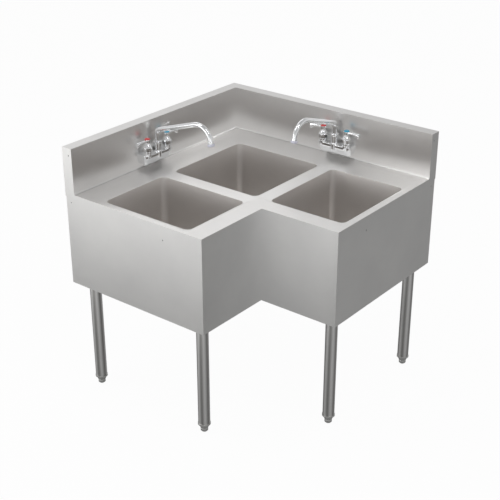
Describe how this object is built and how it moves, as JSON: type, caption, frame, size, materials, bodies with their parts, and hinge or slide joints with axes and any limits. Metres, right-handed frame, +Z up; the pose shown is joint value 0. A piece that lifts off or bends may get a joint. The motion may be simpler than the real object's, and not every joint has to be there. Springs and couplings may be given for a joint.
{
  "type": "corner kitchen sink",
  "caption": "L-shaped stainless corner sink with deep bowls, raised splash along both walls, tubular legs on adjustable feet and wall-mounted two-lever mixer taps.",
  "frame": {"origin": "centre of the whole part's bounding box on the floor plane", "axes": "+Z up; +Y towards the wall behind the right wing; -X towards the wall behind the left wing; the room's corner is at -X +Y"},
  "size_m": [0.9144, 0.9144, 0.9551],
  "materials": {
    "sheet_steel": "satin brushed stainless",
    "bowl_steel": "satin drawn stainless",
    "drain_steel": "polished stainless",
    "plain_steel": "mill finish stainless",
    "foot_steel": "turned stainless",
    "chrome": "polished chrome",
    "brass": "machined",
    "rubber": "matte",
    "red_plastic": "gloss",
    "blue_plastic": "gloss",
    "pale_plastic": "satin"
  },
  "bodies": {
    "sink": {"deck": "sheet_steel", "left_splash": "sheet_steel", "right_splash": "sheet_steel", "left_end_panel": "sheet_steel", "right_end_panel": "sheet_steel", "left_apron": "sheet_steel", "right_apron": "sheet_steel", "left_front_leg": "sheet_steel", "left_wall_leg": "sheet_steel", "corner_leg": "sheet_steel", "right_wall_leg": "sheet_steel", "right_front_leg": "sheet_steel", "left_bowl": "bowl_steel", "corner_bowl": "bowl_steel", "right_bowl": "bowl_steel", "left_drain": "drain_steel", "corner_drain": "drain_steel", "right_drain": "drain_steel", "drain_strainers": "drain_steel", "strainer_screws": "drain_steel", "left_rear_rail": "plain_steel", "right_rear_rail": "plain_steel", "leg_sockets": "plain_steel", "socket_screws": "plain_steel", "drain_locknuts": "plain_steel", "foot_inserts": "foot_steel", "drain_gaskets": "rubber", "left_tap_body": "chrome", "left_hot_bonnet": "chrome", "left_cold_bonnet": "chrome", "left_spout_nut": "chrome", "left_mounting_nuts": "brass", "right_tap_body": "chrome", "right_hot_bonnet": "chrome", "right_cold_bonnet": "chrome", "right_spout_nut": "chrome", "right_mounting_nuts": "brass"},
    "left_front_foot": {"left_front_foot": "foot_steel"},
    "left_wall_foot": {"left_wall_foot": "foot_steel"},
    "corner_foot": {"corner_foot": "foot_steel"},
    "right_wall_foot": {"right_wall_foot": "foot_steel"},
    "right_front_foot": {"right_front_foot": "foot_steel"},
    "left_hot_valve": {"left_hot_stem": "brass", "left_hot_lever": "chrome", "left_hot_button": "red_plastic"},
    "left_cold_valve": {"left_cold_stem": "brass", "left_cold_lever": "chrome", "left_cold_button": "blue_plastic"},
    "left_spout": {"left_spout": "chrome", "left_aerator": "chrome", "left_aerator_collar": "pale_plastic"},
    "right_hot_valve": {"right_hot_stem": "brass", "right_hot_lever": "chrome", "right_hot_button": "red_plastic"},
    "right_cold_valve": {"right_cold_stem": "brass", "right_cold_lever": "chrome", "right_cold_button": "blue_plastic"},
    "right_spout": {"right_spout": "chrome", "right_aerator": "chrome", "right_aerator_collar": "pale_plastic"}
  },
  "joints": [
    {"name": "left_front_foot_height", "type": "slide", "parent": "sink", "child": "left_front_foot", "axis": [0, 0, -1], "range_m": [0, 0.025]},
    {"name": "left_wall_foot_height", "type": "slide", "parent": "sink", "child": "left_wall_foot", "axis": [0, 0, -1], "range_m": [0, 0.025]},
    {"name": "corner_foot_height", "type": "slide", "parent": "sink", "child": "corner_foot", "axis": [0, 0, -1], "range_m": [0, 0.025]},
    {"name": "right_wall_foot_height", "type": "slide", "parent": "sink", "child": "right_wall_foot", "axis": [0, 0, -1], "range_m": [0, 0.025]},
    {"name": "right_front_foot_height", "type": "slide", "parent": "sink", "child": "right_front_foot", "axis": [0, 0, -1], "range_m": [0, 0.025]},
    {"name": "left_hot_turn", "type": "hinge", "parent": "sink", "child": "left_hot_valve", "pos_m": [-0.3757, -0.1306, 0.806], "axis": [0, 0, 1], "range_deg": [0, 90]},
    {"name": "left_cold_turn", "type": "hinge", "parent": "sink", "child": "left_cold_valve", "pos_m": [-0.3757, -0.029, 0.806], "axis": [0, 0, -1], "range_deg": [0, 90]},
    {"name": "left_spout_swing", "type": "hinge", "parent": "sink", "child": "left_spout", "pos_m": [-0.3757, -0.0798, 0.806], "axis": [0, 0, 1], "range_deg": [-90, 90]},
    {"name": "right_hot_turn", "type": "hinge", "parent": "sink", "child": "right_hot_valve", "pos_m": [0.029, 0.3757, 0.806], "axis": [0, 0, 1], "range_deg": [0, 90]},
    {"name": "right_cold_turn", "type": "hinge", "parent": "sink", "child": "right_cold_valve", "pos_m": [0.1306, 0.3757, 0.806], "axis": [0, 0, -1], "range_deg": [0, 90]},
    {"name": "right_spout_swing", "type": "hinge", "parent": "sink", "child": "right_spout", "pos_m": [0.0798, 0.3757, 0.806], "axis": [0, 0, 1], "range_deg": [-90, 90]}
  ]
}
